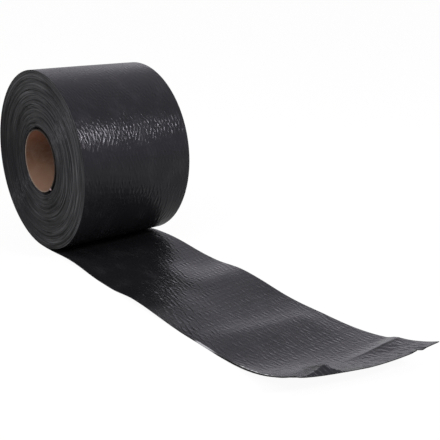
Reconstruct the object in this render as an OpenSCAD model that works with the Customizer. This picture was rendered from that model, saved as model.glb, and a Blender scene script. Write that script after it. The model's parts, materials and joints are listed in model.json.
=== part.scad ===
// Roll of polythene damp proof course: one long strip wound on a cardboard
// core, with its loose end run out flat in front of the coil.
// The coil's axis lies along Y. The loose end runs out along +X from under
// the coil, and everything stands on the plane Z = 0.

/* [Strip] */
// Width of the strip, and so of the roll
strip_w = 100; // [75:1:600]
// Thickness of the sheet
sheet_t = 0.5; // [0.3:0.05:1.2]

/* [Coil] */
// Outer diameter of the wound coil
coil_d = 150; // [120:1:190]
// Most that a band of turns stands out of line with the outer turn
wander = 0.6; // [0.1:0.1:1.5]

/* [Core tube] */
// Bore of the cardboard core
core_bore_d = 50.8; // [40:0.2:76]
// Wall of the core
core_wall = 1.6; // [1:0.1:6]
// Clearance between the core and the first turn
core_fit = 0.3; // [0.1:0.1:0.8]

/* [Loose end] */
// Plan distance from the coil's axis to the tip of the longer edge
loose_reach = 334; // [290:1:900]
// How much shorter the near edge is, because the end is cut on the slant
end_skew = 28; // [0:1:35]
// Height of the wave next to the coil
wave_1_h = 2.8; // [0.5:0.1:4]
// Plan length of that wave, from the coil's axis
wave_1_len = 102; // [80:1:140]
// Height of the wave after it
wave_2_h = 3.4; // [0.5:0.1:6]
// Plan length of the second wave
wave_2_len = 104; // [60:1:140]
// Angle at which the tip turns up from the floor
tip_angle = 20; // [5:1:40]
// Radius of the turn
tip_radius = 110; // [40:1:150]
// Plan length of the straight tip after the turn
tip_run = 38; // [30:1:60]

/* [Hidden] */
$fn = 96;

// Bands of turns that show on the coil's ends
band_count = 24;
// Turn of the wander from one band to the next, in degrees
band_phase = 137.5;
// Steps along each wave
wave_steps = 16;
// Steps round the tip's turn
turn_steps = 8;
// How far the loose end is rooted inside the coil
root = 4;
// Room above and around a cutting shape
cut_room = 5;

coil_r = coil_d / 2;
core_r = core_bore_d / 2;
tube_r = core_r + core_wall;
coil_bore_r = tube_r + core_fit;
band_w = (coil_r - coil_bore_r) / band_count;
tip_x = loose_reach - tip_run;
turn_x = tip_x - tip_radius * sin(tip_angle);

// Axial shift of a band. The outer band and the inner one stay in line.
function band_shift(k) =
    (k == 0 || k == band_count - 1) ? 0 : wander * sin(band_phase * k);

// A point on the loose end's centreline is [x, z, slope angle]: here on a wave
function on_wave(x0, len, h, s) =
    [
        x0 + len * s,
        sheet_t / 2 + h * (1 - cos(360 * s)) / 2,
        atan(h * PI * sin(360 * s) / len)
    ];

// and here on the tip's turn
function on_turn(a) =
    [
        turn_x + tip_radius * sin(a),
        sheet_t / 2 + tip_radius * (1 - cos(a)),
        a
    ];

tip_z = on_turn(tip_angle)[1] + tip_run * tan(tip_angle);

// The whole centreline, from the coil to the tip
centreline = [
    for (i = [1:wave_steps]) on_wave(0, wave_1_len, wave_1_h, i / wave_steps),
    for (i = [1:wave_steps]) on_wave(wave_1_len, wave_2_len, wave_2_h, i / wave_steps),
    for (i = [0:turn_steps]) on_turn(tip_angle * i / turn_steps),
    [loose_reach, tip_z, tip_angle]
];

// A point on one face of the sheet: side is 1 for the top and -1 for the underside
function on_face(p, side) =
    [
        p[0] - side * sheet_t / 2 * sin(p[2]),
        p[1] + side * sheet_t / 2 * cos(p[2])
    ];

function reversed(list) = [for (i = [len(list) - 1:-1:0]) list[i]];

// Section of the loose end in the XZ plane, rooted inside the coil
module loose_section() {
    top = [for (p = centreline) on_face(p, 1)];
    underside = [for (p = centreline) on_face(p, -1)];
    polygon(concat(
        [[-root, sheet_t]],
        underside,
        reversed(top),
        [[-root, 2 * sheet_t]]
    ));
}

// Plan of the loose end, with its slanting cut
module loose_plan() {
    polygon([
        [-root - cut_room, 0],
        [loose_reach - end_skew, 0],
        [loose_reach, strip_w],
        [-root - cut_room, strip_w]
    ]);
}

module loose_end() {
    intersection() {
        translate([0, strip_w, 0])
            rotate([90, 0, 0])
                linear_extrude(height = strip_w)
                    loose_section();
        translate([0, 0, -cut_room])
            linear_extrude(height = tip_z + 2 * cut_room)
                loose_plan();
    }
}

// The wound turns, as one turned solid with stepped ends
module coil() {
    near_end = [
        for (k = [0:band_count - 1], edge = [0, 1])
            [coil_bore_r + (k + edge) * band_w, band_shift(k)]
    ];
    far_end = [for (p = near_end) [p[0], p[1] + strip_w]];
    rotate([-90, 0, 0])
        rotate_extrude()
            polygon(concat(near_end, reversed(far_end)));
}

// Stands the part on Z = 0 with its box centred over the origin
module placed() {
    translate([(coil_r - loose_reach) / 2, -strip_w / 2, 0])
        children();
}

module damp_proof_strip() {
    color("#26262a")
        placed()
            union() {
                translate([0, 0, coil_r])
                    coil();
                loose_end();
            }
}

module core_tube() {
    color("#96704f")
        placed()
            translate([0, 0, coil_r])
                rotate([-90, 0, 0])
                    difference() {
                        cylinder(r = tube_r, h = strip_w);
                        translate([0, 0, -cut_room])
                            cylinder(r = core_r, h = strip_w + 2 * cut_room);
                    }
}

damp_proof_strip();
core_tube();
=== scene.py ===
import json
import math

import bmesh
import bpy
import numpy as np
from mathutils import Matrix, Vector, noise


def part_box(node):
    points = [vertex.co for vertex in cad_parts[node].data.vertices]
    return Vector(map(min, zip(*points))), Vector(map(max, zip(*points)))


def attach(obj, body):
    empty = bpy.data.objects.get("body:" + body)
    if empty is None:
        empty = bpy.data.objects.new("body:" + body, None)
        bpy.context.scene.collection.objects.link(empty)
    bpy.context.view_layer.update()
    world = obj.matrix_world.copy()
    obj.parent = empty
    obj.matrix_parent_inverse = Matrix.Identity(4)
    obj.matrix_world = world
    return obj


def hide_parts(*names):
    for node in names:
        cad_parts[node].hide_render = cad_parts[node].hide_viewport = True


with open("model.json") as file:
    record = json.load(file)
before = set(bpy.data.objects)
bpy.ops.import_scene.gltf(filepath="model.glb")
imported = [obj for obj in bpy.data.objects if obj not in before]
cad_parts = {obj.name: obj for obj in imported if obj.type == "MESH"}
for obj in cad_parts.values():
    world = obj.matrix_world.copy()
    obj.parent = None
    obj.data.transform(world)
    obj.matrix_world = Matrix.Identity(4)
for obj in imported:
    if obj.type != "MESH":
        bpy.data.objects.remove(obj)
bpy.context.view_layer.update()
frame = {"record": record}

mm = 0.001

# places that everything else is measured from
coreLow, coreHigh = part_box("core_tube")
sheetLow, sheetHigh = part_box("damp_proof_strip")
axisX = (coreLow.x + coreHigh.x) / 2
axisZ = (coreLow.z + coreHigh.z) / 2
nearY, farY = coreLow.y, coreHigh.y
middleY = (nearY + farY) / 2
stripWidth = farY - nearY
coilRadius = axisX - sheetLow.x
looseReach = sheetHigh.x - axisX
tubeRadius = (coreHigh.x - coreLow.x) / 2
boreRadius = frame["record"]["mounts"][0]["dims"]["r_mm"] * mm
print("frame read: coil radius", round(coilRadius / mm, 1), "mm, loose end", round(looseReach / mm, 1), "mm")

view = dict(
    ahead=590.5 * mm, side=-294.95 * mm, up=249.36 * mm,    # from the axis, the near end and the floor
    heading=140.936, tilt=-18.467, lean=1.808,              # degrees
    lens=65.588, shiftX=0.0227, shiftY=-0.0159, farClip=50,
)


def placeCamera():
    bpy.ops.object.camera_add()
    camera = bpy.context.object
    camera.name = "productCamera"
    camera.data.lens = view["lens"]
    camera.data.shift_x = view["shiftX"]
    camera.data.shift_y = view["shiftY"]
    camera.data.clip_end = view["farClip"]
    place = Matrix.Translation((axisX + view["ahead"], nearY + view["side"], view["up"]))
    turn = Matrix.Rotation(math.radians(view["heading"] - 90), 4, "Z")
    tip = Matrix.Rotation(math.radians(90 + view["tilt"]), 4, "X")
    lean = Matrix.Rotation(math.radians(view["lean"]), 4, "Z")
    camera.matrix_world = place @ turn @ tip @ lean
    bpy.context.scene.camera = camera


placeCamera()
print("camera set")


def smooth(low, high, x):  # 0 below low, 1 above high, smooth between
    s = min(max((x - low) / (high - low), 0), 1)
    return s * s * (3 - 2 * s)


def bell(x, middle, width):
    return math.exp(-((x - middle) / width) ** 2)


def scaled(away, before, after):  # -1 where the rise to a crest begins, 0 at the crest, 1 where the fall ends
    return away / (before if away < 0 else after)


def roundNoise(angle, size, place, shift=0):  # unevenness that meets itself again after a whole turn
    return noise.noise(Vector((math.cos(angle) * size + shift, math.sin(angle) * size, place)))


def deselectAll():
    if bpy.context.object and bpy.context.object.mode != "OBJECT":
        bpy.ops.object.mode_set(mode="OBJECT")
    bpy.ops.object.select_all(action="DESELECT")


class nodeValue:  # a socket that can be used in a sum
    def __init__(self, finish, socket):
        self.finish = finish
        self.socket = socket

    def math(self, operation, *others):
        node = self.finish.tree.nodes.new("ShaderNodeMath")
        node.operation = operation
        for entry, value in zip(node.inputs, others):
            self.finish.feed(entry, value)
        return nodeValue(self.finish, node.outputs[0])

    def __add__(self, other): return self.math("ADD", self, other)
    def __radd__(self, other): return self.math("ADD", other, self)
    def __sub__(self, other): return self.math("SUBTRACT", self, other)
    def __rsub__(self, other): return self.math("SUBTRACT", other, self)
    def __mul__(self, other): return self.math("MULTIPLY", self, other)
    def __rmul__(self, other): return self.math("MULTIPLY", other, self)
    def __truediv__(self, other): return self.math("DIVIDE", self, other)
    def __rtruediv__(self, other): return self.math("DIVIDE", other, self)
    def __pow__(self, other): return self.math("POWER", self, other)
    def __rpow__(self, other): return self.math("POWER", other, self)
    def __abs__(self): return self.math("ABSOLUTE", self)

    def fract(self): return self.math("FRACT", self)
    def sine(self): return self.math("SINE", self)
    def arctan(self, other): return self.math("ARCTAN2", self, other)
    def larger(self, other): return self.math("MAXIMUM", self, other)

    def between(self, low, high):  # 0 below low, 1 above high, smooth between
        node = self.finish.tree.nodes.new("ShaderNodeMapRange")
        node.interpolation_type = "SMOOTHSTEP"
        self.finish.feed(node.inputs["Value"], self)
        node.inputs["From Min"].default_value = low
        node.inputs["From Max"].default_value = high
        return nodeValue(self.finish, node.outputs["Result"])

    def within(self, start, full, fading, gone):  # 0 before start and after gone, 1 from full to fading
        return self.between(start, full) * (1 - self.between(fading, gone))


class nodeFinish:  # one material or the world
    def __init__(self, owner):
        owner.use_nodes = True
        self.owner = owner
        self.tree = owner.node_tree
        self.tree.nodes.clear()

    def feed(self, entry, value):
        if isinstance(value, nodeValue):
            self.tree.links.new(value.socket, entry)
        elif entry.type == "RGBA":
            entry.default_value = (*value, 1)
        else:
            entry.default_value = value

    def node(self, kind, out=0, settings=None, **inputs):
        made = self.tree.nodes.new("ShaderNode" + kind)
        for name, value in (settings or {}).items():
            setattr(made, name, value)
        for name, value in inputs.items():
            entry = int(name[2:]) if name.startswith("at") else name.replace("_", " ")
            self.feed(made.inputs[entry], value)
        return nodeValue(self, made.outputs[out]) if made.outputs else made

    def mix(self, share, first, second):  # entries 0, 6 and 7 and outlet 2 are the ones for colours
        return self.node("Mix", out=2, settings=dict(data_type="RGBA"), at0=share, at6=first, at7=second)

    def noise(self, where, scale=1.0, detail=2.0, roughness=0.5):
        if isinstance(where, tuple):
            where = self.node("CombineXYZ", **dict(zip("XYZ", where)))
        return self.node("TexNoise", Vector=where, Scale=scale, Detail=detail, Roughness=roughness)

    def split(self, vector):
        made = self.tree.nodes.new("ShaderNodeSeparateXYZ")
        self.feed(made.inputs[0], vector)
        return [nodeValue(self, socket) for socket in made.outputs]

    def fromAxis(self):  # a point's place from the coil's axis
        place = self.node("TexCoord", out="Object")
        return self.node("Mapping", Vector=place, Location=(-axisX, 0.0, -axisZ))


def newFinish(name):
    return nodeFinish(bpy.data.materials.new(name))


strip = dict(
    sheet=0.5 * mm,          # thickness, and so the step from one turn to the next
    slack=0.03 * mm,         # air between two turns
    firstTurn=0.55 * mm,     # air between the tube and the first turn
    turnSteps=80,            # steps round each wound turn
    finerTurns=1.02,         # turns at the outside that are made in the finer grid
    outerSteps=150,          # steps round them
    looseSteps=270,          # steps along the loose end
    closerToCut=1.32,        # how much closer those stand towards its cut, 1 is even
    acrossSteps=72,
    closerToEdges=0.5,       # how much closer those stand towards both edges, 0 is even
    wander=0.36 * mm,        # how far the turns' edges stand out of line
    wanderFrom=(0, 4),       # turns from the core over which that sets in
    narrow=0.9 * mm,         # how far single turns sit back at both ends
    narrowOver=0.12,         # how uneven a turn has to be for that
    narrowSpan=0.6,          # and how much more makes it full
    sunkTurns=(1.8, 3.0),    # turns from the core that sit back wholly, and at all
    sunkDepth=9.0 * mm,
    outerShift=-0.25 * mm,   # of the outermost turn, towards the near side
    underShift=0.35 * mm,    # of the few turns below it
    crown=0.18 * mm,         # how far the outermost turn stands up in its middle
    dents=0.07 * mm,         # how uneven it is
    # how many turns below the outside of the coil a change begins, and is full
    narrowStops=(5, 3),
    wanderStops=(3, 1),
    under=(7, 4),            # the turns that underShift moves
    outermost=(1.6, 1.1),    # the turn that outerShift moves
    flatEnd=(0.1, 0),        # it is even where it meets the loose end
)
# lengths are from the coil's axis, and places across are shares of the width, 0 at the near edge
looseEnd = dict(
    # where the humps crest, how far they run before and after, how high they are at the edge,
    # and over which share of the width they fade out
    nearHumps=((50 * mm, 46 * mm, 46 * mm, 2.3 * mm, 0.80), (143 * mm, 34 * mm, 64 * mm, 2.7 * mm, 0.50)),
    farHumps=((54 * mm, 46 * mm, 50 * mm, 2.0 * mm, 0.42), (147 * mm, 35 * mm, 57 * mm, 2.45 * mm, 0.67)),
    humpFade=dict(power=1.7, fuller=0.9),
    farLift=dict(height=1.95 * mm, rises=(4 * mm, 30 * mm), sinks=(165 * mm, 215 * mm), drop=0.78,
                 power=3.5, widens=(80 * mm, 120 * mm), powerDrop=2),
    ripples=(dict(at=151 * mm, slant=12 * mm, before=12 * mm, after=12 * mm, height=0.55 * mm,
                  starts=(0.4, 0.7)),
             dict(at=240 * mm, slant=18 * mm, before=15 * mm, after=30 * mm, height=1.45 * mm,
                  starts=(-0.1, 0.35))),
    rippleEdge=dict(starts=0.8, lower=0.6),      # the far edge, where they are lower
    sag=dict(at=106 * mm, v=0.77, runX=20 * mm, runV=0.17, depth=0.8 * mm),
    # the curl up to the cut, whose reach and power are given at the near edge and at the far edge
    curl=dict(height=11.3 * mm, reach=(69 * mm, 100 * mm), power=(2.5, 2.4)),
    nearCorner=dict(height=4.0 * mm, width=0.13),
    farCorner=dict(height=8.4 * mm, starts=0.5, power=1.6),
    dip=dict(at=0.026, half=0.018, height=0.8 * mm),
    crease=dict(at=298 * mm, slant=5.5 * mm, before=10 * mm, after=15 * mm, height=1.2 * mm, share=0.93,
                powers=(1.5, 2), starts=(0.40, 0.90), edgeStarts=0.85, edgeLower=0.4),
    edgeFold=dict(at=300 * mm, before=5.5 * mm, after=26 * mm, height=0.90 * mm, starts=0.70),
    endSkew=28.5 * mm,
    short=0.15 * mm,         # how far the cut stays inside the whole part's box
    flap=dict(at=0.295, before=0.28, power=1.65, drop=0.02, after=0.068, left=0.45,
              depth=9.5 * mm, rise=5.6 * mm, run=10 * mm),
    nick=dict(at=0.862, half=0.015, flat=0.007, depth=2.5 * mm, reach=6 * mm,
              droop=0.6 * mm, upSide=-0.022, downSide=0.024, sideWidth=0.02),
    lip=dict(height=0.25 * mm, width=0.7 * mm, starts=(236 * mm, 250 * mm), ends=(292 * mm, 300 * mm)),
)


def turnWander(turns, angle):
    # neighbouring turns keep together for a few turns, then step
    slow = roundNoise(angle, 0.7, turns * 0.23)
    quick = roundNoise(angle, 1.1, turns * 0.71 + 3, shift=7)
    return strip["wander"] * (1.1 * slow + 1.1 * quick)


def turnNarrow(turns, angle):
    single = roundNoise(angle, 0.8, turns * 2.1, shift=20)
    return strip["narrow"] * max(single - strip["narrowOver"], 0) / strip["narrowSpan"]


def humps(values, x, inwards):
    fade = looseEnd["humpFade"]
    height = 0
    for crest, before, after, rise, width in values:
        away = abs(scaled(x - crest, before, after))
        if away < 1 and inwards < width:
            left = (1 - inwards / width) ** fade["power"] * (1 + fade["fuller"] * inwards / width)
            height += rise * left * (1 + math.cos(math.pi * away)) / 2
    return height


def farEdgeRise(x, v):
    lift = looseEnd["farLift"]
    shows = smooth(*lift["rises"], x) * (1 - lift["drop"] * smooth(*lift["sinks"], x))
    return lift["height"] * shows * v ** (lift["power"] - lift["powerDrop"] * smooth(*lift["widens"], x))


def rippleRise(ripple, x, v):
    edge = looseEnd["rippleEdge"]
    away = scaled(x - ripple["at"] + ripple["slant"] * (1 - v), ripple["before"], ripple["after"])
    full = smooth(*ripple["starts"], v) * (1 - edge["lower"] * smooth(edge["starts"], 1, v))
    return ripple["height"] * math.exp(-away * away) * full


def sagDepth(x, v):
    sag = looseEnd["sag"]
    outX, outV = (x - sag["at"]) / sag["runX"], (v - sag["v"]) / sag["runV"]
    return sag["depth"] * math.exp(-outX ** 2 - outV ** 2)


def endAt(v):
    # plan reach of the slanting cut
    return looseReach - looseEnd["short"] - looseEnd["endSkew"] * (1 - v)


def looseAt(share, v):
    # the columns run with the crease as far as it, and with the slanting cut past it
    crease = looseEnd["crease"]
    crest = crease["at"] + crease["slant"] * v
    if share < crease["share"]:
        return crest * share / crease["share"]
    return crest + (endAt(v) - crest) * (share - crease["share"]) / (1 - crease["share"])


def curlRise(v, back):
    curl, near, far, dip = (looseEnd[name] for name in ("curl", "nearCorner", "farCorner", "dip"))
    reach = curl["reach"][0] * (1 - v) + curl["reach"][1] * v
    power = curl["power"][0] * (1 - v) + curl["power"][1] * v
    tip = curl["height"] + near["height"] * math.exp(-v / near["width"])
    tip += far["height"] * max((v - far["starts"]) / (1 - far["starts"]), 0) ** far["power"]
    tip += dip["height"] * bell(v, dip["at"], dip["half"])
    return tip * max(1 - back / reach, 0) ** power


def creaseRise(x, v):
    crease = looseEnd["crease"]
    away = scaled(x - crease["at"] - crease["slant"] * v, crease["before"], crease["after"])
    folded = max(1 - abs(away), 0) ** crease["powers"][0 if away < 0 else 1]
    edge = 1 - crease["edgeLower"] * smooth(crease["edgeStarts"], 1, v)
    return crease["height"] * folded * smooth(*crease["starts"], v) * edge


def edgeFoldRise(x, v):
    # where the crease meets the far edge
    fold = looseEnd["edgeFold"]
    away = scaled(x - fold["at"], fold["before"], fold["after"])
    return fold["height"] * max(1 - abs(away), 0) * smooth(fold["starts"], 1, v)


def flapRise(v, back):
    # the cut end's small dog-ear: the sheet stands up to a fold, and falls from it to the cut
    flap = looseEnd["flap"]
    if v < flap["at"]:
        peak = max(1 - (flap["at"] - v) / flap["before"], 0) ** flap["power"]
    else:
        past = v - flap["at"]
        steep = 1 - (1 - flap["left"]) * min(past / flap["drop"], 1)
        peak = steep * min(max((flap["after"] - past) / (flap["after"] - flap["drop"]), 0), 1)
    fold = flap["depth"] * peak
    if back < fold:
        return flap["rise"] * back / flap["depth"]
    return flap["rise"] * peak * bell(back, fold, flap["run"])


def nickAt(v, back):
    # the small nick in the cut near the far corner
    nick = looseEnd["nick"]
    cut = min(max((nick["half"] - abs(v - nick["at"])) / (nick["half"] - nick["flat"]), 0), 1)
    return nick["depth"] * cut * max(1 - back / nick["reach"], 0)


def nickDroop(v, back):
    # one side of the nick stands up, and the other hangs down
    nick = looseEnd["nick"]
    past = v - nick["at"]
    sides = bell(past, nick["upSide"], nick["sideWidth"]) - bell(past, nick["downSide"], nick["sideWidth"])
    return nick["droop"] * sides * max(1 - back / nick["reach"], 0)


def lipRise(x, v):
    # the near edge is turned up a little on the way to the cut
    lip = looseEnd["lip"]
    shows = smooth(*lip["starts"], x) * (1 - smooth(*lip["ends"], x))
    return lip["height"] * shows * math.exp(-v * stripWidth / lip["width"])


def looseHeight(x, v):
    # height of the sheet's middle over the floor
    back = max(endAt(v) - x, 0)
    height = strip["sheet"] / 2 + humps(looseEnd["nearHumps"], x, v) + humps(looseEnd["farHumps"], x, 1 - v)
    height += farEdgeRise(x, v)
    for ripple in looseEnd["ripples"]:
        height += rippleRise(ripple, x, v)
    height -= sagDepth(x, v)
    height += curlRise(v, back)
    height += creaseRise(x, v)
    height += edgeFoldRise(x, v)
    height += flapRise(v, back)
    height += nickDroop(v, back)
    return height + lipRise(x, v)


turnCount = (coilRadius - strip["sheet"] / 2 - tubeRadius - strip["firstTurn"]) / strip["sheet"]
woundTurns = turnCount - strip["finerTurns"]


def nearOutside(name, turns):
    start, full = strip[name]
    return smooth(turnCount - start, turnCount - full, turns)


def woundPlace(turns, across):
    # a point's place on the coil, and its length along the strip
    toCome = turnCount - turns
    radius = coilRadius - strip["sheet"] / 2 - toCome * strip["sheet"]
    angle = math.radians(-90) - 2 * math.pi * toCome
    outermost = nearOutside("outermost", turns)
    under = nearOutside("under", turns) * (1 - outermost)
    sunk = strip["sunkDepth"] * (1 - smooth(*strip["sunkTurns"], turns))
    sunk += turnNarrow(turns, angle) * (1 - nearOutside("narrowStops", turns))
    shift = turnWander(turns, angle) * smooth(*strip["wanderFrom"], turns)
    shift *= 1 - nearOutside("wanderStops", turns)
    shift += strip["underShift"] * under + strip["outerShift"] * outermost
    y = nearY + sunk + across * (stripWidth - 2 * sunk) + shift
    if turns > woundTurns:
        dent = roundNoise(angle, 1.6, across * 1.8)
        crown = strip["crown"] * 4 * across * (1 - across) * max(math.sin(angle), 0) ** 2
        free = 1 - nearOutside("flatEnd", turns)
        radius += free * (strip["dents"] * (1 + dent) + crown)
    length = 2 * math.pi * turns * (tubeRadius + radius) / 2
    return (axisX + radius * math.cos(angle), y, axisZ + radius * math.sin(angle)), length


coilLength = woundPlace(turnCount, 0)[1]


def outerPlace(u, across):
    # the outermost turn, and then the loose end
    step = u * (strip["outerSteps"] + strip["looseSteps"])
    if step <= strip["outerSteps"]:
        return woundPlace(woundTurns + strip["finerTurns"] * step / strip["outerSteps"], across)
    share = 1 - (1 - (step - strip["outerSteps"]) / strip["looseSteps"]) ** strip["closerToCut"]
    x = looseAt(share, across)
    x -= nickAt(across, endAt(across) - x)
    y = nearY + across * stripWidth + strip["outerShift"]
    return (axisX + x, y, looseHeight(x, across)), coilLength + x


def stripGrid(columns, rows, name):
    deselectAll()
    bpy.ops.mesh.primitive_grid_add(x_subdivisions=columns, y_subdivisions=rows, size=1, calc_uvs=True)
    piece = bpy.context.object
    piece.name = name
    return piece


def bendGrid(piece, place, acrossAt):
    # moves each point of a flat grid to its place, and lays the map out in real metres
    mesh = piece.data
    flat = np.zeros(len(mesh.vertices) * 3)
    mesh.vertices.foreach_get("co", flat)
    flat = flat.reshape(-1, 3) + 0.5
    bent = np.zeros_like(flat)
    lie = np.zeros((len(flat), 2))
    for index, (u, v, _) in enumerate(flat):
        across = acrossAt(v)
        bent[index], lie[index, 0] = place(u, across)
        lie[index, 1] = across * stripWidth
    mesh.vertices.foreach_set("co", bent.ravel())
    corners = np.zeros(len(mesh.loops), dtype=int)
    mesh.loops.foreach_get("vertex_index", corners)
    mesh.uv_layers[0].data.foreach_set("uv", lie[corners].ravel())
    mesh.update()


def closerAtEdges(v):
    return v - strip["closerToEdges"] * math.sin(2 * math.pi * v) / (2 * math.pi)


def makeStrip():
    wound = stripGrid(round(woundTurns * strip["turnSteps"]), 1, "dampProofStrip")
    bendGrid(wound, lambda u, across: woundPlace(u * woundTurns, across), lambda v: v)
    outer = stripGrid(strip["outerSteps"] + strip["looseSteps"], strip["acrossSteps"], "outerTurnAndLooseEnd")
    bendGrid(outer, outerPlace, closerAtEdges)
    deselectAll()
    outer.select_set(True)
    wound.select_set(True)
    bpy.context.view_layer.objects.active = wound
    bpy.ops.object.join()
    bridgeStrip(wound)
    for made in (embossedPolythene(), cutEdges()):
        wound.data.materials.append(made)
    thickenStrip(wound)
    return wound


def bridgeStrip(piece):
    # joins the finer grid to the wound turns where one ends and the other begins
    (seamX, _, seamZ), _ = woundPlace(woundTurns, 0)
    seamReach, shortest = 0.16 * mm, 0.5 * mm
    bpy.ops.object.mode_set(mode="EDIT")
    bpy.ops.mesh.select_mode(type="EDGE")
    bpy.ops.mesh.select_all(action="DESELECT")
    mesh = bmesh.from_edit_mesh(piece.data)
    for edge in mesh.edges:
        ends = [vertex.co for vertex in edge.verts]
        if edge.is_boundary and all(math.hypot(end.x - seamX, end.z - seamZ) < seamReach for end in ends):
            edge.select = abs(ends[0].y - ends[1].y) > shortest
    bmesh.update_edit_mesh(piece.data)
    bpy.ops.mesh.bridge_edge_loops()
    bpy.ops.mesh.select_all(action="SELECT")
    bpy.ops.mesh.remove_doubles(threshold=0.01 * mm)    # the corners of both grids meet
    bpy.ops.object.mode_set(mode="OBJECT")


def thickenStrip(piece):
    wall = piece.modifiers.new("sheet", "SOLIDIFY")
    wall.thickness = strip["sheet"] - strip["slack"]
    wall.offset = 0
    wall.material_offset_rim = 1
    bpy.ops.object.modifier_apply(modifier=wall.name)
    for face in piece.data.polygons:
        face.use_smooth = face.material_index == 0


core = dict(
    sides=144,
    smoothAngle=25,          # degrees
    corner=0.2 * mm,         # width of the rim's worn corners
    wear=0.16 * mm,          # and how far they are worn down
    fray=0.16 * mm,          # how uneven the cut rim is
    ease=0.6 * mm,           # air outside the tube, over the fit of the plain solid
    windPitch=82 * mm,       # lead of the seam of the spiral-wound board
    seamWidth=0.018,         # as a share of that lead
    plyThickness=0.4 * mm,
    rimDepth=(0.9 * mm, 0.35 * mm),              # in from the cut, where the rim's colour begins and is full
    gapShadeDepth=(0.4 * mm, 0.2 * mm),             # in from the outside, the same for the painted shade in the gap
    board=(0.180, 0.094, 0.055),
    darkBoard=(0.150, 0.069, 0.040),
    # the next two are painted light inside the bore: redder towards the top, paler towards the bottom
    redBoard=(0.290, 0.116, 0.070),
    dustAndLight=(0.275, 0.165, 0.115),
    seam=(0.055, 0.030, 0.020),
    # painted shade in the gap between the tube and the first turn
    gapShade=(0.010, 0.008, 0.007),
    rim=(0.27, 0.205, 0.165),
    ply=(0.13, 0.085, 0.06),
    # painted shade on the rim's top and right
    shadedRim=(0.016, 0.010, 0.008),
    # a small flake of paper at the near rim, with its angle and half its width in degrees
    torn=dict(angle=-50, width=2.4, out=1.3 * mm, proud=0.35 * mm, colour=(0.60, 0.44, 0.47),
              reach=(0.8 * mm, 1.3 * mm), depth=(0.6 * mm, 1.2 * mm)),
)
outsideRadius = tubeRadius - core["ease"]


def makeCore():
    deselectAll()
    bpy.ops.mesh.primitive_cylinder_add(vertices=core["sides"], radius=outsideRadius, depth=stripWidth,
                                        location=(axisX, middleY, axisZ),
                                        rotation=(math.radians(90), 0, 0))
    tube = bpy.context.object
    tube.name = "cardboardCore"
    bpy.ops.object.transform_apply(location=True, rotation=True, scale=True)
    bpy.ops.object.mode_set(mode="EDIT")
    bpy.ops.mesh.select_mode(type="FACE")
    bpy.ops.mesh.select_all(action="DESELECT")
    mesh = bmesh.from_edit_mesh(tube.data)
    for face in mesh.faces:
        face.select = abs(face.normal.y) > 0.9
    bmesh.update_edit_mesh(tube.data)
    for width in (core["corner"], outsideRadius - boreRadius - 2 * core["corner"], core["corner"]):
        bpy.ops.mesh.inset(thickness=width)
    bpy.ops.mesh.bridge_edge_loops()
    bpy.ops.mesh.select_all(action="DESELECT")
    mesh = bmesh.from_edit_mesh(tube.data)
    for vertex in mesh.verts:
        wearRim(vertex.co)
    bmesh.update_edit_mesh(tube.data)
    bpy.ops.object.mode_set(mode="OBJECT")
    tube.data.materials.append(coreBoard())
    bpy.ops.object.shade_smooth_by_angle(angle=math.radians(core["smoothAngle"]))
    return tube


def wearRim(point):
    # wears the corners, frays the cut and pulls the flake out
    radius = math.hypot(point.x - axisX, point.z - axisZ)
    angle = math.atan2(point.z - axisZ, point.x - axisX)
    side = 1 if point.y > middleY else -1
    close = 0.08 * mm
    atOutside = radius > outsideRadius - close
    if atOutside or radius < boreRadius + close:
        point.y -= side * core["wear"]
    point.y -= side * core["fray"] * (0.6 + roundNoise(angle, 9, radius * 900 + side))
    torn = core["torn"]
    if side < 0 and atOutside and abs(math.degrees(angle) - torn["angle"]) < torn["width"]:
        stretch = (radius + torn["out"]) / radius
        point.x = axisX + (point.x - axisX) * stretch
        point.z = axisZ + (point.z - axisZ) * stretch
        point.y -= torn["proud"]


def depthIn(value, outside, depths):  # 0 deeper than the first depth below the outside, 1 above the second
    return value.between(outside - depths[0], outside - depths[1])


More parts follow.
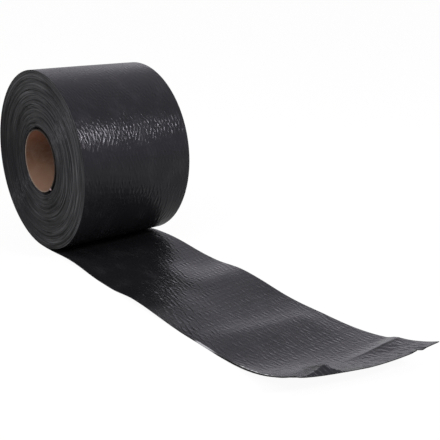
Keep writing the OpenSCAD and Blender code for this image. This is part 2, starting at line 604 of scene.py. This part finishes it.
def coreBoard():
    finish = newFinish("coreBoard")
    place = finish.fromAxis()
    x, y, z = finish.split(place)
    radius = (x * x + z * z) ** 0.5
    wind = (z.arctan(x) * (0.5 / math.pi) + y / core["windPitch"]).fract()
    seam = 1 - abs(wind - 0.5).between(0.0, core["seamWidth"])
    fibres = finish.noise((x * 230, y * 150, z * 230), detail=5.0, roughness=0.65)
    blotches = finish.noise(place, scale=75.0, detail=3.0, roughness=0.6)
    board = finish.mix(blotches.between(0.38, 0.66), core["darkBoard"], core["board"])
    board = finish.mix(fibres.between(0.35, 0.75) * 0.35, board, core["rim"])
    board = finish.mix(seam * 0.55, board, core["seam"])
    # painted light inside the bore: redder towards the top, paler towards the bottom
    height = z / boreRadius
    board = finish.mix(height.between(0.1, 0.9) * 0.7, board, core["redBoard"])
    lower = (height * -0.5 + 0.5).between(0.45, 1.0)
    board = finish.mix(lower * 0.75, board, core["dustAndLight"])      # paler towards the bottom of the bore, painted light
    outer = depthIn(radius, outsideRadius, core["gapShadeDepth"])
    board = finish.mix(outer, board, core["gapShade"])             # painted shade in the gap under the first turn
    plies = ((radius - boreRadius) / core["plyThickness"]).fract()
    rim = finish.mix(plies.between(0.1, 0.6), core["ply"], core["rim"])
    paintedLit = (x * -0.8 - z * 0.6).between(-0.014, 0.018)        # painted light on the rim: lit to the left and below, shaded to the top and right
    rim = finish.mix(paintedLit, finish.mix(0.92, rim, core["shadedRim"]), rim)
    colour = finish.mix(depthIn(abs(y), stripWidth / 2, core["rimDepth"]), board, rim)
    torn = core["torn"]
    tear = math.radians(torn["angle"])
    tornX, tornZ = math.cos(tear) * tubeRadius, math.sin(tear) * tubeRadius
    away = ((x - tornX) ** 2 + (z - tornZ) ** 2) ** 0.5
    inwards = y.between(*(depth - stripWidth / 2 for depth in torn["depth"]))
    tearing = (1 - away.between(*torn["reach"])) * (1 - inwards)
    colour = finish.mix(tearing, colour, torn["colour"])
    bump = finish.node("Bump", Height=fibres * 0.6 - seam, Strength=0.8, Distance=0.12 * mm)
    shader = finish.node("BsdfPrincipled", Base_Color=colour, Roughness=fibres * 0.2 + 0.72,
                         Specular_IOR_Level=0.25, Normal=bump)
    finish.node("OutputMaterial", Surface=shader)
    return finish.owner


film = dict(
    colour=(0.0086, 0.0084, 0.0097),
    dustAndLight=(0.0155, 0.0150, 0.0170),
    pale=(0.044, 0.044, 0.048),      # painted highlight at the crease, and painted sheen beyond the second hump
    # painted glint at the near edge
    glintColour=(0.33, 0.33, 0.35),
    # painted highlight line along the near edge
    paintedLit=(0.42, 0.42, 0.43),
    # painted shade, where the film has no gloss
    dullShade=(0.0060, 0.0060, 0.0056),
    tint=(0.93, 0.90, 1.0),
    shine=0.22,              # specular level, pressed polythene is duller than a clean film
    rough=0.26,
    pressPitch=3.46 * mm,    # of the crossing ridges, across the strip
    pressLength=12.0 * mm,   # and along it
    crossPitch=6.4 * mm,
    pressDepth=0.125,        # in millimetres, as the next three
    pressMore=0.045,         # added towards the cut end
    dentDepth=0.18,
    foldDepth=0.22,
    # lengths on the loose end, from the coil's axis: where a change begins and is full
    looseFrom=(20 * mm, 60 * mm),
    laterFrom=(150 * mm, 270 * mm),
    turnedUpFrom=(246 * mm, 254 * mm),
    shadedBorderFrom=(238 * mm, 250 * mm),
    # and where a mark begins, is full, begins to fade and is gone
    edgeGlintAt=(214 * mm, 219 * mm, 229 * mm, 240 * mm),
    sheenAt=(154 * mm, 172 * mm, 186 * mm, 206 * mm),
    litLineFrom=(252 * mm, 264 * mm),
    litLineUntil=(284 * mm, 296 * mm),
    # the same from the near edge
    sheenAcross=(6 * mm, 22 * mm),
    litLineAcross=(1.4 * mm, 1.7 * mm, 2.3 * mm, 2.8 * mm),
    shadedBorderAcross=(1.3 * mm, 1.6 * mm),
    edgeGlintAcross=(0.9 * mm, 1.7 * mm),
    # and from the crease, below 0 on the coil's side of it
    creaseLitAt=(-9 * mm, -3 * mm, -1.0 * mm, -0.2 * mm),
    shadedAt=(-0.5 * mm, 0.3 * mm, 1.2 * mm, 3.0 * mm),
    crumpledFrom=(0.0, 6 * mm),
    bentAcross=(0.40, 0.85),         # shares of the width over which the crease sets in
)


def lengthsAt(places):
    # how far along the strip these places on the loose end are
    return [coilLength + place for place in places]


# a glint painted at the near edge
def edgeGlintMark(along, across, edge):
    return along.within(*lengthsAt(film["edgeGlintAt"])) * (1 - across.between(*edge))


def pressedPattern(finish, along, across, loose, later):
    # ridges in four directions, of which three fade out and come back along their length
    wobble = (finish.noise((along * 45, across * 120, 0.0), detail=1.0) - 0.5) * 3.2
    acrossLines, alongLines = across / film["pressPitch"], along / film["pressLength"]
    first = (acrossLines + alongLines) * math.pi + wobble
    second = (acrossLines - alongLines) * math.pi - wobble
    straight = acrossLines * math.pi + wobble * 0.5
    cross = along / film["crossPitch"] * math.pi + wobble
    ridges = [0.64 - abs(lines.sine()) for lines in (first, second, straight, cross)]
    worn = [finish.noise((along * 74, across * 250, layer), detail=1.0).between(0.42, 0.62)
            for layer in (3.0, 9.0, 15.0)]
    pressed = ridges[0] * worn[0] + ridges[1] * worn[1] * (1 - loose * 0.45)
    pressed = pressed + ridges[2] * worn[2] * (0.75 - loose * 0.1) + ridges[3] * (0.30 - later * 0.12)
    grit = finish.noise((along * 420, across * 700, 31.0), detail=1.0)
    return pressed * (1 - later * 0.15) + grit * 0.35


def embossedPolythene():
    finish = newFinish("embossedPolythene")
    along, across, _ = finish.split(finish.node("UVMap"))
    loose = along.between(*lengthsAt(film["looseFrom"]))
    later = along.between(*lengthsAt(film["laterFrom"]))
    # the crease has a painted highlight on the coil's side and painted shade past it, where the sheet is also
    # crumpled
    crease = looseEnd["crease"]
    crest = along - across * (crease["slant"] / stripWidth) - (coilLength + crease["at"])
    bent = across.between(*(share * stripWidth for share in film["bentAcross"]))
    creaseLit = crest.within(*film["creaseLitAt"]) * bent
    shaded = crest.within(*film["shadedAt"]) * bent
    crumpled = crest.between(*film["crumpledFrom"])
    folds = finish.noise((along * 170 + across * 60, across * 330, 21.0), detail=1.0)
    folds = folds.between(0.30, 0.70) * crumpled
    pressed = pressedPattern(finish, along, across, loose, later) * (1 - crumpled * 0.4)
    dents = finish.noise((along * 28, across * 42, 7.0), roughness=0.45)
    depth = later * film["pressMore"] + film["pressDepth"]
    height = dents * film["dentDepth"] + pressed * depth + folds * film["foldDepth"]
    bump = finish.node("Bump", Height=height, Strength=1.0, Distance=mm)
    # dust, a painted glint at the near edge, a painted sheen beyond the second hump, and a painted highlight
    # line along the near edge
    dust = finish.noise((along * 35, across * 60, 11.0), detail=4.0, roughness=0.6)
    edgeGlint = edgeGlintMark(along, across, film["edgeGlintAcross"])
    paintedSheen = along.within(*lengthsAt(film["sheenAt"])) * (1 - across.between(*film["sheenAcross"]))
    broken = finish.noise((along * 320, 0.0, 5.0)).between(0.35, 0.65)
    paintedLit = across.within(*film["litLineAcross"]) * along.between(*lengthsAt(film["litLineFrom"]))
    paintedLit = paintedLit * broken * (1 - along.between(*lengthsAt(film["litLineUntil"])))
    colour = finish.mix(dust.between(0.45, 0.8), film["colour"], film["dustAndLight"])
    colour = finish.mix(edgeGlint, colour, film["glintColour"])
    colour = finish.mix((creaseLit * 0.9).larger(paintedSheen * 0.45), colour, film["pale"])
    colour = finish.mix(paintedLit, colour, film["paintedLit"])
    rough = dust * 0.14 + (film["rough"] - 0.07) + edgeGlint * 0.3
    glossy = finish.node("BsdfPrincipled", Base_Color=colour, Roughness=rough,
                         Specular_IOR_Level=film["shine"], Specular_Tint=film["tint"], Normal=bump)
    # painted shade: the border outside the highlight line, the underside that the dog-ear turns up and,
    # partly, the crease's far side have no gloss
    shadedBorder = (1 - across.between(*film["shadedBorderAcross"])) * along.between(*lengthsAt(film["shadedBorderFrom"]))
    _, _, upwards = finish.split(finish.node("NewGeometry", out="True Normal"))
    under = (1 - upwards.between(-0.3, 0.0)) * along.between(*lengthsAt(film["turnedUpFrom"]))
    dullShade = finish.node("BsdfPrincipled", Base_Color=film["dullShade"], Roughness=0.75, Specular_IOR_Level=0.1)
    paintedShade = shadedBorder.larger(under).larger(shaded * 0.3)
    finish.node("OutputMaterial", Surface=finish.node("MixShader", at0=paintedShade, at1=glossy, at2=dullShade))
    return finish.owner


edges = dict(
    dark=(0.006, 0.006, 0.0058),
    pale=(0.101, 0.101, 0.106),
    specks=(0.16, 0.17, 0.16),
    looseFrom=(0.0, 30 * mm),    # the loose end's edge is painted darker, as shade
    looseDarker=0.75,
    edgeGlintAcross=(1 * mm, 2 * mm),
)


def cutEdges():
    finish = newFinish("cutEdges")
    along, across, _ = finish.split(finish.node("UVMap"))
    x, _, z = finish.split(finish.fromAxis())
    radius = (x * x + z * z) ** 0.5
    aroundX, aroundZ = x / radius, z / radius
    # dark rings of painted shade between single turns, fine lines of painted sheen, and broad bands of turns
    rings = finish.noise((aroundX * 1.1, aroundZ * 1.1, radius * 600), roughness=0.6)
    lines = finish.noise((aroundX * 1.3, aroundZ * 1.3, radius * 820 + 9), detail=1.0)
    bands = finish.noise((aroundX * 1.7 + 5, aroundZ * 1.7, radius * 190), roughness=0.6)
    turns = finish.noise((along * 9, 0.0, 0.0), detail=3.0, roughness=0.6)
    # painted light across the end face: lighter towards the right and the top, darker to the left
    paintedLit = (x * 0.4 + abs(z) * 0.35 + z * 0.25).between(-0.050, 0.050)
    shade = (turns.between(0.3, 0.7) * 0.3 + 0.7) * (rings.between(0.39, 0.45) * 0.62 + 0.38)
    shade = shade * (paintedLit * 0.83 + 0.17) * (bands.between(0.34, 0.60) * 0.3 + 0.7)
    shade = shade * (lines.between(0.58, 0.63) * 0.6 + 0.76)
    shade = shade * (1 - along.between(*lengthsAt(edges["looseFrom"])) * edges["looseDarker"])
    specks = finish.noise(finish.node("TexCoord", out="Object"), scale=620.0, detail=1.0).between(0.74, 0.80)
    colour = finish.mix(shade, edges["dark"], edges["pale"])
    colour = finish.mix(specks * 0.6, colour, edges["specks"])
    # the painted glint at the near edge, on the cut edges too
    colour = finish.mix(edgeGlintMark(along, across, edges["edgeGlintAcross"]), colour, film["glintColour"])
    drag = finish.noise((along * 400, across * 400, 0.0))
    bump = finish.node("Bump", Height=drag, Strength=0.6, Distance=0.08 * mm)
    shader = finish.node("BsdfPrincipled", Base_Color=colour, Roughness=turns * 0.3 + 0.38,
                         Specular_IOR_Level=0.0, Normal=bump)
    finish.node("OutputMaterial", Surface=shader)
    return finish.owner


stripPiece = makeStrip()
print("strip made:", round(coilLength + looseReach, 1), "m long,", len(stripPiece.data.polygons), "faces")
corePiece = makeCore()
print("core made:", len(corePiece.data.polygons), "faces")

for piece, node, slot in ((stripPiece, "damp_proof_strip", "polythene"),
                          (corePiece, "core_tube", "cardboard")):
    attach(piece, "root")
    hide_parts(node)

studio = dict(
    floorSize=30,
    floorGrey=0.50,          # as the roll is lit by it
    shownGrey=0.95,          # as it shows itself, with the shadow
    floorWhite=0.94,         # how much of what shows is plain white over that
    besideRoll=(0.05, 0.20),     # how far out from the roll's middle the film begins to mirror that white, nearer it a painted shadow
    floorInGloss=0.3,            # and how much of it
    softbox=dict(aim=(0, 0, 0.075), azimuth=17.5, elevation=34, away=1.3, size=(0.15, 0.20), power=8.6),
    fill=dict(aim=(0, 0, 0.075), azimuth=-70, elevation=48, away=1.6, size=(0.8, 0.8), power=9),
)
# how bright the room is where the film mirrors it: where a change begins, where it is full, how much it is
room = dict(
    strength=0.75,                   # of the light on the roll
    colour=(1.03, 1.0, 1.083),       # in the film
    wall=(0.2, 0.42, 0.15),
    overhead=(0.4, 0.8, 0.10),
    behindFrom=(-0.5, 0.6),
    front=0.74,
    gapSide=(0.53, 0.60), gapBottom=(0.28, 0.45), gapTop=(0.6, 0.75),
    gap=0.36,
    glow=((0.57, 0.61, 0.60), (0.64, 0.69, -0.47), (0.72, 0.77, 0.40)),
    glowTop=(0.12, 0.28),
    corner=(0.76, 0.86, 0.42),
)


def makeFloor():
    deselectAll()
    bpy.ops.mesh.primitive_plane_add(size=studio["floorSize"], location=(0, 0, 0))
    floor = bpy.context.object
    floor.name = "floor"
    finish = newFinish("paleFloor")
    shown = finish.node("LightPath", out="Is Camera Ray")
    gloss = finish.node("LightPath", out="Is Glossy Ray")
    _, y, _ = finish.split(finish.node("TexCoord", out="Object"))
    beside = abs(y).between(*studio["besideRoll"]) * studio["floorInGloss"]
    grey = finish.mix(shown, (studio["floorGrey"],) * 3, (studio["shownGrey"],) * 3)
    plain = finish.node("BsdfDiffuse", Color=grey)
    white = finish.node("Emission", Color=(1, 1, 1), Strength=1.0)
    share = shown.larger(gloss * beside) * studio["floorWhite"]
    finish.node("OutputMaterial", Surface=finish.node("MixShader", at0=share, at1=plain, at2=white))
    floor.data.materials.append(finish.owner)


def areaLamp(name):
    values = studio[name]
    bpy.ops.object.light_add(type="AREA")
    lamp = bpy.context.object
    lamp.name = name
    lamp.data.shape = "RECTANGLE"
    lamp.data.size, lamp.data.size_y = values["size"]
    lamp.data.energy = values["power"]
    azimuth, elevation = math.radians(values["azimuth"]), math.radians(values["elevation"])
    out = Vector((math.cos(azimuth) * math.cos(elevation), math.sin(azimuth) * math.cos(elevation),
                  math.sin(elevation)))
    lamp.location = Vector(values["aim"]) + Vector((axisX, 0, 0)) + out * values["away"]
    lamp.rotation_euler = out.to_track_quat("Z", "Y").to_euler()


def change(value, start, full, amount):
    return value.between(start, full) * amount


def lightStudio():
    world = bpy.data.worlds.new("studio")
    bpy.context.scene.world = world
    finish = nodeFinish(world)
    shown, gloss, through = (finish.node("LightPath", out="Is %s Ray" % kind)
                             for kind in ("Camera", "Glossy", "Transmission"))
    x, y, up = finish.split(finish.node("TexCoord", out="Generated"))
    heading = math.radians(view["heading"])
    behind = x * math.cos(heading) + y * math.sin(heading)
    # paler near the horizon and behind the roll
    bright = 1 - change(up, *room["wall"]) - change(up, *room["overhead"])
    bright = bright * (behind.between(*room["behindFrom"]) * (1 - room["front"]) + room["front"])
    gap = y.between(*room["gapSide"]) * up.between(*room["gapBottom"]) * (1 - up.between(*room["gapTop"]))
    bright = bright * (1 - gap * room["gap"])
    glow = sum(change(y, *values) for values in room["glow"])
    bright = bright * (1 + glow * (1 - up.between(*room["glowTop"])))
    bright = bright * (1 - change(x * -1, *room["corner"]))
    seen = shown.larger(gloss * bright).larger(through)
    strength = seen.larger(room["strength"] * (1 - gloss))
    colour = finish.mix(gloss, (1, 1, 1), room["colour"])
    finish.node("OutputWorld", Surface=finish.node("Background", Color=colour, Strength=strength))
    areaLamp("softbox")
    areaLamp("fill")


makeFloor()
lightStudio()
bpy.context.scene.view_settings.view_transform = "Standard"
print("studio set")
